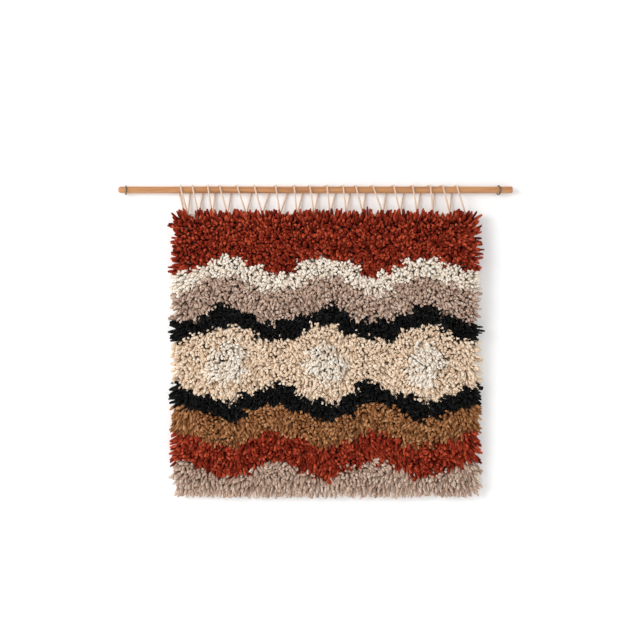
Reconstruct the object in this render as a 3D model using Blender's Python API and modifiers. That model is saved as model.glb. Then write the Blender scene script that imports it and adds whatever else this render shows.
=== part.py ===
"""A latch hook wall hanging: a shag of knotted wool on canvas, laced to a wooden rod with one cord.

Metres, +Z up, and the front faces -Y. The origin is on the rod's underside, at the point where it is held up.
The canvas leans back a little towards its foot, and the pile fans out past it on all four sides.
"""

import math
import random

import bmesh
import bpy
from mathutils import Matrix, Vector, noise

GAP = 0.0003

# Rod, with a domed left end and a softened right one
ROD_RADIUS = 0.00794
ROD_LENGTH = 0.9144
ROD_CENTRE_X = -0.015
ROD_SIDES = 32
ROD_LEFT_ROUNDING = 0.0058
ROD_RIGHT_ROUNDING = 0.002
ROUNDING_STEPS = 4

# Wire rings that hang on the rod, the right one askew
RING_INNER_RADIUS = 0.0091
RING_WIRE_RADIUS = 0.0013
RING_DROP = 0.0008
RINGS = (
    ("name", "from_left_end", "turn_degrees"),
    ("ring_left", 0.0178, 13),
    ("ring_right", 0.8820, 20),
)

# Canvas, with its four edges turned back and sewn down as one hem
CANVAS_WIDTH = 0.686
CANVAS_HEIGHT = 0.635
CANVAS_CENTRE_X = 0.0092
CANVAS_TOP_Z = -0.048
CANVAS_THICKNESS = 0.002
HEM_WIDTH = 0.024
HEM_THICKNESS = 0.0018
HEM_SLOPE = 0.0015
CANVAS_STRIPS = 12
FOOT_LEAN = 0.006
LEAN_POWER = 1.4

# Lacing cord, and the row of holes that it passes through
CORD_RADIUS = 0.002
CORD_EASE = 0.0005
CORD_WRAP_POINTS = 9
CORD_SLANT_ON_ROD = 0.18
CORD_TURN = 0.0022
CORD_TURN_RISE = 0.001
CORD_TURN_HEIGHT = 0.005
HOLE_RADIUS = 0.0029
HOLE_BELOW_TOP = 0.005
HOLE_SIDES = 8
KNOT_SWELL = 1.35
KNOT_SHOULDER = 0.2
FIRST_HOLE_X = -0.319

# One row for each turn round the rod: x where the cord is behind it, over its top, and in the canvas.
LACING_TURNS = (
    ("behind", "over", "stitch"),
    (-0.333, -0.328, -0.311),
    (-0.306, -0.300, -0.286),
    (-0.275, -0.264, -0.254),
    (-0.247, -0.237, -0.219),
    (-0.210, -0.197, -0.175),
    (-0.162, -0.157, -0.138),
    (-0.120, -0.107, -0.097),
    (-0.077, -0.064, -0.058),
    (-0.042, -0.028, -0.018),
    (-0.006, 0.012, 0.019),
    (0.034, 0.049, 0.057),
    (0.067, 0.078, 0.095),
    (0.103, 0.117, 0.142),
    (0.151, 0.166, 0.182),
    (0.192, 0.210, 0.221),
    (0.230, 0.251, 0.258),
    (0.262, 0.279, 0.297),
    (0.303, 0.311, 0.333),
)

# Pile: the slab that the knots cover
PILE_INSET = 0.0025
PILE_TOP_Z = -0.0605
PILE_DEPTH = 0.027
PILE_COLUMNS = 48
PILE_ROWS = 46
BACK_COLUMN_STEP = 16
BACK_UNEVENNESS = 0.0006
LUMP_HEIGHT = 0.0036
DRIFT_HEIGHT = 0.0025
DRIFT_LENGTH = 0.09
FRONT_EDGE_SHARE = 0.88

# One row for each level of the rim between front and root: its share of the depth, and its swell outwards.
RIM_LEVELS = (
    ("depth", "side", "top", "foot"),
    (0.72, 0.009, 0.009, 0.013),
    (0.40, 0.008, 0.004, 0.009),
)
CORNER_SOFTENING = 0.85

# How far the front of the rim wanders outwards along each side, by z on the left and right, or x.
LEFT_WANDER = (
    ("z", "out"),
    (-0.680, -0.012),
    (-0.640, -0.004),
    (-0.560, 0.001),
    (-0.480, 0.005),
    (-0.430, 0.004),
    (-0.330, 0.001),
    (-0.240, 0.000),
    (-0.155, 0.004),
    (-0.100, 0.000),
    (-0.050, -0.004),
)
RIGHT_WANDER = (
    ("z", "out"),
    (-0.690, -0.005),
    (-0.600, 0.002),
    (-0.500, 0.001),
    (-0.450, 0.007),
    (-0.415, 0.000),
    (-0.380, 0.006),
    (-0.330, -0.004),
    (-0.220, -0.003),
    (-0.140, 0.001),
    (-0.123, 0.008),
    (-0.105, -0.008),
    (-0.070, 0.008),
    (-0.050, 0.004),
)
TOP_WANDER = (
    ("x", "out"),
    (-0.340, 0.004),
    (-0.310, 0.006),
    (-0.280, 0.001),
    (-0.220, 0.001),
    (0.000, 0.000),
    (0.150, 0.002),
    (0.260, 0.001),
    (0.340, 0.000),
)
FOOT_WANDER = (
    ("x", "out"),
    (-0.330, 0.004),
    (-0.300, 0.003),
    (-0.240, -0.003),
    (-0.130, 0.002),
    (0.000, 0.000),
    (0.140, 0.005),
    (0.250, 0.000),
    (0.350, -0.006),
)

# Locks of yarn that stand out of the rim
LOCK_SHORTEST = 0.005
LOCK_LONGEST = 0.012
LOCK_TAPER = 0.45
LOCK_SWAY = 0.3
LOCK_DROOP = 0.3

# Yarn bands from the top down, each with the share of the pile's height at which it ends
BANDS = (
    ("ends", "yarn"),
    (0.17, "rust"),
    (0.24, "cream"),
    (0.35, "taupe"),
    (0.42, "black"),
    (0.64, "beige"),
    (0.71, "black"),
    (0.81, "brown"),
    (0.92, "rust"),
    (1.00, "taupe"),
)
BEIGE_MIDDLE = 0.53
SPOT_COUNT = 3
WAVE_LENGTH = CANVAS_WIDTH / SPOT_COUNT
WAVE_HEIGHT = 0.018

# Round spots of longer pile along the beige band
SPOT_RADIUS = 0.042
SPOT_EXTRA_DEPTH = 0.013
SPOT_SHOULDER = 0.016

YARN_COLOURS = {
    "rust": (0.30, 0.035, 0.012),
    "cream": (0.84, 0.76, 0.64),
    "taupe": (0.42, 0.33, 0.26),
    "black": (0.012, 0.012, 0.013),
    "beige": (0.62, 0.44, 0.27),
    "brown": (0.26, 0.11, 0.04),
}

CANVAS_LEFT = CANVAS_CENTRE_X - CANVAS_WIDTH / 2
CANVAS_RIGHT = CANVAS_CENTRE_X + CANVAS_WIDTH / 2
CANVAS_FOOT_Z = CANVAS_TOP_Z - CANVAS_HEIGHT
CANVAS_FRONT_Y = -CANVAS_THICKNESS / 2
CANVAS_BACK_Y = CANVAS_THICKNESS / 2 + HEM_THICKNESS
HOLE_Z = CANVAS_TOP_Z - HOLE_BELOW_TOP
PILE_LEFT = CANVAS_LEFT + PILE_INSET
PILE_RIGHT = CANVAS_RIGHT - PILE_INSET
PILE_FOOT_Z = CANVAS_FOOT_Z + PILE_INSET
PILE_HEIGHT = PILE_TOP_Z - PILE_FOOT_Z


def remove_all_objects():
    for obj in list(bpy.data.objects):
        bpy.data.objects.remove(obj)


def new_collection(name):
    collection = bpy.data.collections.new(name)
    bpy.context.scene.collection.children.link(collection)
    return collection


def new_material(name, colour, roughness, metallic=0.0):
    material = bpy.data.materials.new(name)
    material.use_nodes = True
    shader = material.node_tree.nodes["Principled BSDF"]
    shader.inputs["Base Color"].default_value = (*colour, 1.0)
    shader.inputs["Roughness"].default_value = roughness
    shader.inputs["Metallic"].default_value = metallic
    material.diffuse_color = (*colour, 1.0)
    return material


def new_object(name, data, collection, *materials):
    obj = bpy.data.objects.new(name, data)
    for material in materials:
        obj.data.materials.append(material)
    collection.objects.link(obj)
    return obj


def mesh_from(bm, name):
    mesh = bpy.data.meshes.new(name)
    bmesh.ops.recalc_face_normals(bm, faces=bm.faces)
    bm.to_mesh(mesh)
    bm.free()
    return mesh


def shade_round(mesh, sharp_degrees=40):
    mesh.shade_smooth()
    mesh.set_sharp_from_angle(angle=math.radians(sharp_degrees))


def rows_of(table):
    """A table's rows, without the row that names its columns."""
    return table[1:]


def read_between(table, place):
    """The second column, read between the rows at a place in the first, which rises."""
    rows = rows_of(table)
    if place <= rows[0][0]:
        return rows[0][1]
    for (low, at_low), (high, at_high) in zip(rows, rows[1:]):
        if place <= high:
            return at_low + (at_high - at_low) * (place - low) / (high - low)
    return rows[-1][1]


def smooth_step(share):
    share = min(max(share, 0.0), 1.0)
    return share * share * (3 - 2 * share)


def lean(z):
    """How far back of the rod's axis the canvas hangs at this height."""
    share = max(0.0, (CANVAS_TOP_Z - z) / CANVAS_HEIGHT)
    return FOOT_LEAN * share**LEAN_POWER


# Rod and rings


def rounded_corner(radius, end_z, way):
    """Points round the rod's edge, from its end face to its side, as (distance from the axis, z)."""
    points = []
    for k in range(ROUNDING_STEPS + 1):
        angle = math.radians(90) * k / ROUNDING_STEPS
        out = ROD_RADIUS - radius + radius * math.sin(angle)
        points.append((out, end_z - way * radius * (1 - math.cos(angle))))
    return points


def make_rod(collection):
    """Turned upright, from its right end at the top, then laid along X."""
    half = ROD_LENGTH / 2
    outline = [(0, half)]
    outline += rounded_corner(ROD_RIGHT_ROUNDING, half, 1)
    outline += reversed(rounded_corner(ROD_LEFT_ROUNDING, -half, -1))
    outline.append((0, -half))
    mesh = bpy.data.meshes.new("rod")
    edges = [(k, k + 1) for k in range(len(outline) - 1)]
    mesh.from_pydata([(out, 0, z) for out, z in outline], edges, [])
    rod = new_object("rod", mesh, collection, new_material("rod_wood", (0.52, 0.26, 0.11), 0.5))
    rod.location = (ROD_CENTRE_X, 0, ROD_RADIUS)
    rod.rotation_euler = (0, math.radians(90), 0)
    screw = rod.modifiers.new("turned", "SCREW")
    screw.axis = "Z"
    screw.steps = ROD_SIDES
    screw.render_steps = ROD_SIDES
    screw.use_merge_vertices = True
    screw.merge_threshold = 0.00001
    screw.use_smooth_shade = True


def make_rings(collection):
    """Plain wire rings, which rest on the rod's top and so hang a little low."""
    steel = new_material("ring_steel", (0.35, 0.34, 0.33), 0.25, metallic=1.0)
    left_end = ROD_CENTRE_X - ROD_LENGTH / 2
    for name, from_left_end, turn_degrees in rows_of(RINGS):
        bpy.ops.mesh.primitive_torus_add(
            major_radius=RING_INNER_RADIUS + RING_WIRE_RADIUS,
            minor_radius=RING_WIRE_RADIUS,
            major_segments=28,
            minor_segments=8,
        )
        made = bpy.context.object
        mesh = made.data
        bpy.data.objects.remove(made)
        mesh.transform(Matrix.Rotation(math.radians(90), 4, "Y"))
        shade_round(mesh)
        ring = new_object(name, mesh, collection, steel)
        ring.location = (left_end + from_left_end, 0, ROD_RADIUS - RING_DROP)
        ring.rotation_euler = (0, 0, math.radians(turn_degrees))


# Lacing


def tangent_angle(y, z, radius):
    """Where a straight strand from (y, z) below meets the circle round the rod, as an angle from its top."""
    drop = ROD_RADIUS - z
    reach = math.hypot(y, drop)
    return math.pi - math.asin(abs(y) / reach) - math.acos(radius / reach)


def through_hole(x):
    """The cord's points through one hole, from the canvas's front to its back."""
    near = CORD_RADIUS + 2 * CORD_EASE
    return [
        (x, CANVAS_FRONT_Y - near, HOLE_Z + CORD_TURN_HEIGHT),
        (x, CANVAS_FRONT_Y - CORD_TURN, HOLE_Z + CORD_TURN_RISE),
        (x, CANVAS_FRONT_Y + CORD_EASE, HOLE_Z),
        (x, CANVAS_BACK_Y - CORD_EASE, HOLE_Z),
        (x, CANVAS_BACK_Y + CORD_TURN, HOLE_Z + CORD_TURN_RISE),
        (x, CANVAS_BACK_Y + near, HOLE_Z + CORD_TURN_HEIGHT),
    ]


def over_rod(behind, over, stitch):
    """The cord's points up behind the rod, over its top and down its front."""
    radius = ROD_RADIUS + CORD_RADIUS + CORD_EASE
    near = CORD_RADIUS + 2 * CORD_EASE
    back = tangent_angle(CANVAS_BACK_Y + near, HOLE_Z + CORD_TURN_HEIGHT, radius)
    front = tangent_angle(CANVAS_FRONT_Y - near, HOLE_Z + CORD_TURN_HEIGHT, radius)
    leaves = over + (stitch - over) * CORD_SLANT_ON_ROD
    points = []
    for k in range(CORD_WRAP_POINTS):
        angle = -back + (back + front) * k / (CORD_WRAP_POINTS - 1)
        if angle < 0:
            x = over + (behind - over) * -angle / back
        else:
            x = over + (leaves - over) * angle / front
        points.append((x, -radius * math.sin(angle), ROD_RADIUS + radius * math.cos(angle)))
    return points


def knot_points(x, outer_y, inner_y):
    """A knot as a swelling of the cord, from its outer end to the canvas, as (point, swell)."""
    shares = ((0, 1.0), (KNOT_SHOULDER, KNOT_SWELL), (1 - KNOT_SHOULDER, KNOT_SWELL), (1, 1.0))
    return [((x, outer_y + (inner_y - outer_y) * share, HOLE_Z), swell) for share, swell in shares]


def lacing_points():
    """The cord from its first knot, in front of the canvas, to its last, behind it, as (point, swell)."""
    knot = 2 * KNOT_SWELL * CORD_RADIUS
    turns = rows_of(LACING_TURNS)
    front_face = CANVAS_FRONT_Y - GAP
    back_face = CANVAS_BACK_Y + GAP
    route = through_hole(FIRST_HOLE_X)[3:]
    for behind, over, stitch in turns:
        route += over_rod(behind, over, stitch)
        route += through_hole(stitch)
    route = route[:-2]
    last_stitch = turns[-1][2]
    first_knot = knot_points(FIRST_HOLE_X, front_face - knot, front_face)
    last_knot = knot_points(last_stitch, back_face + knot, back_face)
    return first_knot + [(point, 1.0) for point in route] + last_knot[::-1]


def make_lacing(collection):
    curve = bpy.data.curves.new("lacing", "CURVE")
    curve.dimensions = "3D"
    curve.bevel_depth = CORD_RADIUS
    curve.bevel_resolution = 2
    curve.use_fill_caps = True
    points = lacing_points()
    spline = curve.splines.new("POLY")
    spline.points.add(len(points) - 1)
    for target, (place, swell) in zip(spline.points, points):
        target.co = (*place, 1)
        target.radius = swell
    new_object("lacing", curve, collection, new_material("lacing_cord", (0.75, 0.6, 0.43), 0.8))


# Canvas


def make_hole_cutters(collection):
    """One mesh that holds a short rod for every hole of the lacing."""
    bm = bmesh.new()
    for x in [FIRST_HOLE_X] + [stitch for _, _, stitch in rows_of(LACING_TURNS)]:
        bmesh.ops.create_cone(
            bm,
            cap_ends=True,
            segments=HOLE_SIDES,
            radius1=HOLE_RADIUS,
            radius2=HOLE_RADIUS,
            depth=4 * (CANVAS_BACK_Y - CANVAS_FRONT_Y),
            matrix=Matrix.Translation((x, 0, HOLE_Z)) @ Matrix.Rotation(math.radians(90), 4, "X"),
        )
    cutter = new_object("lacing_holes", mesh_from(bm, "lacing_holes"), collection)
    cutter.hide_render = True
    cutter.display_type = "WIRE"
    return cutter


def make_canvas(collection, cutters):
    bm = bmesh.new()
    bmesh.ops.create_cube(bm, size=1)
    depth = CANVAS_BACK_Y - CANVAS_FRONT_Y
    centre = (
        CANVAS_CENTRE_X,
        CANVAS_FRONT_Y + depth / 2,
        CANVAS_TOP_Z - CANVAS_HEIGHT / 2,
    )
    bmesh.ops.scale(bm, vec=(CANVAS_WIDTH, depth, CANVAS_HEIGHT), verts=bm.verts)
    bmesh.ops.translate(bm, vec=centre, verts=bm.verts)
    bm.faces.ensure_lookup_table()
    back = max(bm.faces, key=lambda face: face.calc_center_median().y)
    bmesh.ops.inset_region(bm, faces=[back], thickness=HEM_WIDTH)
    bmesh.ops.inset_region(bm, faces=[back], thickness=HEM_SLOPE)
    bmesh.ops.translate(bm, vec=(0, -HEM_THICKNESS, 0), verts=back.verts)
    for strip in range(1, CANVAS_STRIPS):
        bmesh.ops.bisect_plane(
            bm,
            geom=[*bm.verts, *bm.edges, *bm.faces],
            plane_co=(0, 0, CANVAS_TOP_Z - CANVAS_HEIGHT * strip / CANVAS_STRIPS),
            plane_no=(0, 0, 1),
        )
    for vert in bm.verts:
        vert.co.y += lean(vert.co.z)
    canvas = new_object(
        "canvas",
        mesh_from(bm, "canvas"),
        collection,
        new_material("canvas_cotton", (0.72, 0.66, 0.53), 0.9),
    )
    holes = canvas.modifiers.new("lacing_holes", "BOOLEAN")
    holes.object = make_hole_cutters(cutters)


# Pile


def wave_at(x, z):
    """How far the band edges have risen here: waves above the spots and their mirror below them."""
    rise = WAVE_HEIGHT * math.cos(2 * math.pi * (x - CANVAS_LEFT) / WAVE_LENGTH - math.pi)
    middle = PILE_TOP_Z - BEIGE_MIDDLE * PILE_HEIGHT
    return rise if z > middle else -rise


def nearest_spot(x, z):
    """How far this place is from the middle of the nearest spot."""
    middle = PILE_TOP_Z - BEIGE_MIDDLE * PILE_HEIGHT
    places = [CANVAS_LEFT + (k + 0.5) * WAVE_LENGTH for k in range(SPOT_COUNT)]
    return min(math.hypot(x - place, z - middle) for place in places)


def yarn_at(x, z):
    if nearest_spot(x, z) < SPOT_RADIUS:
        return "cream"
    share = (PILE_TOP_Z - (z - wave_at(x, z))) / PILE_HEIGHT
    for ends, yarn in rows_of(BANDS):
        if share <= ends:
            return yarn
    return rows_of(BANDS)[-1][1]


def pile_depth_at(x, z):
    """How far the pile's front stands off the canvas, without its lumps."""
    drift = noise.noise(Vector((x, z, 0)) / DRIFT_LENGTH) * DRIFT_HEIGHT
    shoulder = (SPOT_RADIUS + SPOT_SHOULDER / 2 - nearest_spot(x, z)) / SPOT_SHOULDER
    return PILE_DEPTH + drift + SPOT_EXTRA_DEPTH * smooth_step(shoulder)


def grid_point(i, j):
    """The x and z of a column and a row of the pile's grid."""
    x = PILE_LEFT + (PILE_RIGHT - PILE_LEFT) * i / PILE_COLUMNS
    z = PILE_FOOT_Z + PILE_HEIGHT * j / PILE_ROWS
    return x, z


def out_of_rim(i, j, level):
    """How far the rim at a grid place swells past its root, in x and z, at one of its levels."""
    depth, side, top, foot = level
    x, z = grid_point(i, j)
    is_corner = i in (0, PILE_COLUMNS) and j in (0, PILE_ROWS)
    keep = CORNER_SOFTENING if is_corner else 1.0
    share = depth / rows_of(RIM_LEVELS)[0][0]
    x_out = z_out = 0.0
    if i == 0:
        x_out = -(side + share * read_between(LEFT_WANDER, z)) * keep
    if i == PILE_COLUMNS:
        x_out = (side + share * read_between(RIGHT_WANDER, z)) * keep
    if j == 0:
        z_out = -(foot + share * read_between(FOOT_WANDER, x)) * keep
    if j == PILE_ROWS:
        z_out = (top + share * read_between(TOP_WANDER, x)) * keep
    return x_out, z_out


def rim_vertex(bm, i, j, level):
    x, z = grid_point(i, j)
    y = CANVAS_FRONT_Y - GAP + lean(z) - pile_depth_at(x, z) * level[0]
    x_out, z_out = out_of_rim(i, j, level)
    return bm.verts.new((x + x_out, y, z + z_out))


def root_vertex(bm, i, j, off=0.0):
    """A point of the back, which lies this far off the canvas besides the gap."""
    x, z = grid_point(i, j)
    return bm.verts.new((x, CANVAS_FRONT_Y - GAP - off + lean(z), z))


def rim_places():
    """Grid places round the rim, anticlockwise as seen from the front."""
    foot = [(i, 0) for i in range(PILE_COLUMNS)]
    right = [(PILE_COLUMNS, j) for j in range(PILE_ROWS)]
    top = [(PILE_COLUMNS - i, PILE_ROWS) for i in range(PILE_COLUMNS)]
    left = [(0, PILE_ROWS - j) for j in range(PILE_ROWS)]
    return foot + right + top + left


def front_vertices(bm, chance):
    """The pile's lumpy front, as a dictionary from grid place to vertex."""
    verts = {}
    for j in range(PILE_ROWS + 1):
        for i in range(PILE_COLUMNS + 1):
            x, z = grid_point(i, j)
            at_rim = i in (0, PILE_COLUMNS) or j in (0, PILE_ROWS)
            lump = chance.uniform(-LUMP_HEIGHT, LUMP_HEIGHT)
            depth = pile_depth_at(x, z) * (FRONT_EDGE_SHARE if at_rim else 1.0) + lump
            verts[i, j] = bm.verts.new((x, CANVAS_FRONT_Y - GAP + lean(z) - depth, z))
    return verts


def back_step(j):
    """How many columns apart the back's points lie on a row: close at its top and foot, and wider inwards."""
    return min(2 ** min(j, PILE_ROWS - j), BACK_COLUMN_STEP)


def close_back(bm, root, chance):
    """Fills the slightly uneven back in between the root's points, row by row."""
    for j in range(1, PILE_ROWS):
        for i in range(back_step(j), PILE_COLUMNS, back_step(j)):
            root[i, j] = root_vertex(bm, i, j, chance.uniform(0, BACK_UNEVENNESS))
    for j in range(PILE_ROWS):
        wide = max(back_step(j), back_step(j + 1))
        for i in range(0, PILE_COLUMNS, wide):
            low = [root[k, j] for k in range(i, i + wide + 1, back_step(j))]
            high = [root[k, j + 1] for k in range(i, i + wide + 1, back_step(j + 1))]
            bm.faces.new(low[::-1] + high)


def grow_locks(bm, faces, chance):
    """Draws every given face out into a four-sided lock that points away from the pile's middle."""
    made = bmesh.ops.extrude_discrete_faces(bm, faces=faces)["faces"]
    for face in made:
        centre = face.calc_center_median()
        side = Vector((0, 0, 0))
        if centre.x < PILE_LEFT or centre.x > PILE_RIGHT:
            side.x = math.copysign(1, centre.x - CANVAS_CENTRE_X)
        if centre.z < PILE_FOOT_Z or centre.z > PILE_TOP_Z:
            side.z = math.copysign(1, centre.z - PILE_FOOT_Z)
        across = Vector((side.z, 0, side.x)) * chance.uniform(-LOCK_SWAY, LOCK_SWAY)
        forward = Vector((0, chance.uniform(-LOCK_SWAY, LOCK_SWAY), 0))
        droop = Vector((0, 0, -LOCK_DROOP)) if side.x else Vector((0, 0, 0))
        way = (side.normalized() + across + forward + droop).normalized()
        length = chance.uniform(LOCK_SHORTEST, LOCK_LONGEST)
        for vert in face.verts:
            vert.co = centre + (vert.co - centre) * LOCK_TAPER + way * length


def make_pile(collection):
    chance = random.Random(11)
    bm = bmesh.new()
    front = front_vertices(bm, chance)
    for j in range(PILE_ROWS):
        for i in range(PILE_COLUMNS):
            corners = [(i, j), (i + 1, j), (i + 1, j + 1), (i, j + 1)]
            bm.faces.new([front[place] for place in corners])

    places = rim_places()
    rings = [[front[place] for place in places]]
    rings += [[rim_vertex(bm, i, j, level) for i, j in places] for level in rows_of(RIM_LEVELS)]
    rings.append([root_vertex(bm, i, j) for i, j in places])
    lock_faces = []
    for band, (outer, inner) in enumerate(zip(rings, rings[1:])):
        for k in range(len(places)):
            following = (k + 1) % len(places)
            face = bm.faces.new([outer[following], outer[k], inner[k], inner[following]])
            if band < len(rings) - 2 and (band + k) % 2 == 0:
                lock_faces.append(face)

    close_back(bm, dict(zip(places, rings[-1])), chance)
    grow_locks(bm, lock_faces, chance)
    mesh = mesh_from(bm, "pile")
    yarns = list(YARN_COLOURS)
    materials = [new_material("wool_" + yarn, YARN_COLOURS[yarn], 0.95) for yarn in yarns]
    new_object("pile", mesh, collection, *materials)
    for face in mesh.polygons:
        face.material_index = yarns.index(yarn_at(face.center.x, face.center.z))


def main():
    remove_all_objects()
    hanging = new_collection("latch_hook_wall_hanging")
    cutters = new_collection("cutters")
    make_rod(hanging)
    make_rings(hanging)
    make_lacing(hanging)
    make_canvas(hanging, cutters)
    make_pile(hanging)


main()
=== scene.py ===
"""The looks of the latch hook wall hanging: each tail of its wool pile, its canvas from behind, and its rod.

Metres, +Z up, and the front faces -Y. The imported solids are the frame, and the sizes are the part's own.
"""

import math

import bpy
import numpy as np
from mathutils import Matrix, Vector, noise


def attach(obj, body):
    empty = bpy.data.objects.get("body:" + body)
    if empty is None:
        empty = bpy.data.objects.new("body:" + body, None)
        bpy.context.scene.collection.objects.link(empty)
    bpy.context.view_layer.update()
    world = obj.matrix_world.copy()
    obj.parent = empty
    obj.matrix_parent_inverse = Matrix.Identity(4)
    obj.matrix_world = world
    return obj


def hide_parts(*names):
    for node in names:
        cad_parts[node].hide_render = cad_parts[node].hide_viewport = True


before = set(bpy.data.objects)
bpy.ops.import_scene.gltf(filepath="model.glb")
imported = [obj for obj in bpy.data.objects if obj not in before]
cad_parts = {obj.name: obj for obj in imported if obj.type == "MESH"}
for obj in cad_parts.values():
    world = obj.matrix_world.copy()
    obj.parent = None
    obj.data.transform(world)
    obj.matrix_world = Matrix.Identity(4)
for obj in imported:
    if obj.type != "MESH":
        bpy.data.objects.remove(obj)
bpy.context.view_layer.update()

BODY = "root"
SEED = 7
chance = np.random.default_rng(SEED)
noise.seed_set(SEED)

# Photograph's frame: its size in pixels, its scale, and where the origin lies in it
PHOTO_SIZE = 640
METRES_PER_PIXEL = 0.00232
ORIGIN_PIXEL_X = 321.8
ORIGIN_PIXEL_Y = 193.27
CAMERA_LENS = 0.070
SENSOR_WIDTH = 0.036

# Stage and light: the strength of the plain surroundings, and the lamps with the point that they look at
BACKDROP_Y = 0.0122
FLOOR_Z = -1.45
STAGE_SIZE = 9.0
STAGE_GREY = 0.87
SURROUNDINGS = 0.72
LAMP_AIM = (0, 0, -0.35)
LAMPS = (
    ("name", "place", "size", "power"),
    ("key", (-4.0, -3.4, 1.0), 2.8, 185),
    ("fill", (3.4, -3.6, 0.2), 3.0, 32),
    ("back_fill", (-1.2, 3.2, 0.9), 2.2, 90),
)

# Rod and rings
ROD_RADIUS = 0.00794
ROD_LENGTH = 0.9144
ROD_CENTRE_X = -0.015
ROD_LEFT_ROUNDING = 0.0058
ROD_RIGHT_ROUNDING = 0.002
ROD_SIDES = 48
ROD_END_STEPS = 7
ROD_END_REACH = 0.02
ROD_MIDDLE_POINTS = 60
ROD_WOBBLE = 0.00012
ROD_WOBBLE_SCALE = 9
ROD_WOBBLE_SEED = 4.0
RING_INNER_RADIUS = 0.0091
RING_WIRE_RADIUS = 0.0013
RING_DROP = 0.0008
RING_STEPS = 72
RING_SIDES = 16
RINGS = (
    ("name", "from_left_end", "turn_degrees"),
    ("ring_left", 0.0178, 13),
    ("ring_right", 0.8820, 20),
)

# Canvas
CANVAS_WIDTH = 0.686
CANVAS_HEIGHT = 0.635
CANVAS_CENTRE_X = 0.0092
CANVAS_TOP_Z = -0.048
CANVAS_THICKNESS = 0.002
HEM_WIDTH = 0.024
HEM_THICKNESS = 0.0018
FOOT_LEAN = 0.006
LEAN_POWER = 1.4
MESH_PITCH = 0.00677
THREAD_RADIUS = 0.00055
THREAD_SIDES = 4
THREAD_INSET = 0.001
WARP_SPREAD = 0.0011
WARP_POINTS = 24
WEFT_POINTS = 8

# Lacing
CORD_RADIUS = 0.002
CORD_EASE = 0.0005
CORD_WRAP_POINTS = 9
CORD_SLANT_ON_ROD = 0.18
CORD_TURN = 0.0022
CORD_TURN_RISE = 0.001
CORD_TURN_HEIGHT = 0.005
CORD_LAY = 0.012
CORD_STEP = 0.0014
CORD_ROUNDS = 2
CORD_SIDES = 12
CORD_PLIES = 3
CORD_LOBE = 0.12
# The cord's tone, which follows its plies: painted shade makes it darker in their grooves than on their
# ridges
CORD_TONE = 0.62
CORD_PLY_PAINTED_SHADE = 0.38
HOLE_BELOW_TOP = 0.005
FIRST_HOLE_X = -0.319
KNOT_TURN_RADIUS = 0.75 * CORD_RADIUS
KNOT_TURNS = 2
KNOT_TURN_STEPS = 8
KNOT_OUTER = 0.0032
KNOT_INNER = 0.0008
KNOT_END = (
    ("aside", "out", "below"),
    (0.0, 0.0055, 0.0120),
    (0.0004, 0.0045, 0.0070),
)
LACING_TURNS = (
    ("behind", "over", "stitch"),
    (-0.333, -0.328, -0.311),
    (-0.306, -0.300, -0.286),
    (-0.275, -0.264, -0.254),
    (-0.247, -0.237, -0.219),
    (-0.210, -0.197, -0.175),
    (-0.162, -0.157, -0.138),
    (-0.120, -0.107, -0.097),
    (-0.077, -0.064, -0.058),
    (-0.042, -0.028, -0.018),
    (-0.006, 0.012, 0.019),
    (0.034, 0.049, 0.057),
    (0.067, 0.078, 0.095),
    (0.103, 0.117, 0.142),
    (0.151, 0.166, 0.182),
    (0.192, 0.210, 0.221),
    (0.230, 0.251, 0.258),
    (0.262, 0.279, 0.297),
    (0.303, 0.311, 0.333),
)

# Pile: where its knots lie, and the design that they make
PILE_INSET = 0.0025
PILE_TOP_Z = -0.0605
BANDS = (
    ("ends", "yarn", "name"),
    (0.17, "rust", "rust_top"),
    (0.24, "cream", "cream_band"),
    (0.35, "taupe", "taupe_upper"),
    (0.42, "black", "black_upper"),
    (0.64, "beige", "beige_middle"),
    (0.71, "black", "black_lower"),
    (0.81, "brown", "brown_band"),
    (0.92, "rust", "rust_lower"),
    (1.00, "taupe", "taupe_foot"),
)
SPOT_ROW = ("cream", "cream_spots")
BEIGE_MIDDLE = 0.53
SPOT_COUNT = 3
WAVE_LENGTH = CANVAS_WIDTH / SPOT_COUNT
WAVE_HEIGHT = 0.018
SPOT_RADIUS = 0.042
SPOT_SHOULDER = 0.016
RAGGED_EDGE = 0.007
RAGGED_LENGTH = 0.0115
RAGGED_SEED = 5.0

# Yarn tails
TAIL_LENGTH = 0.0295
TAIL_LENGTH_SPREAD = 0.0016
LUMP_REACH = 0.0045
LUMP_LENGTH = 0.021
LUMP_SEED = 14.0
SPOT_EXTRA_LENGTH = 0.0115
TAIL_SIDES = 4
TAIL_SHARES = np.array((0.0, 0.28, 0.56, 0.82, 1.0))
TAIL_RADII = np.array((0.0028, 0.0031, 0.0037, 0.0038, 0.0023))
TAIL_RADIUS_SPREAD = 0.2
TONE_SPREAD = 0.27
TAIL_FLATNESS = 0.88
PLIES = 3
PLY_TURNS = 2.2
TAIL_BEND = 0.6
TAIL_BEND_SIDEWAYS = 0.18
TAIL_SLACK = 0.97
STEEPEST_LEAN = 0.9
KNOT_SPREAD = 0.0017
TAIL_SCATTER = 0.0042
COMB_REACH = 0.017
COMB_LENGTH = 0.07
COMB_SEED = 3.0
TUFT_REACH = 0.017
TUFT_LENGTH = 0.020
TUFT_SEED = 9.0
DROOP_AT_TOP = 0.001
DROOP_AT_FOOT = 0.015
SPOT_FAN = 0.03
SPOT_LUMP = 0.4
SWIRL_STEP = 0.05

# How far the outermost tails fan out past their roots on each side, and how fast that fades inwards
FAN_SIDE = 0.0265
FAN_TOP = 0.0330
FAN_FOOT = 0.0275
FAN_FADE = 0.015
FAN_LEAST = 0.62

# Near the rim the comb and the tufts turn the tails less
CALM_REACH = 0.030
CALM_LEAST = 0.4

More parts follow.
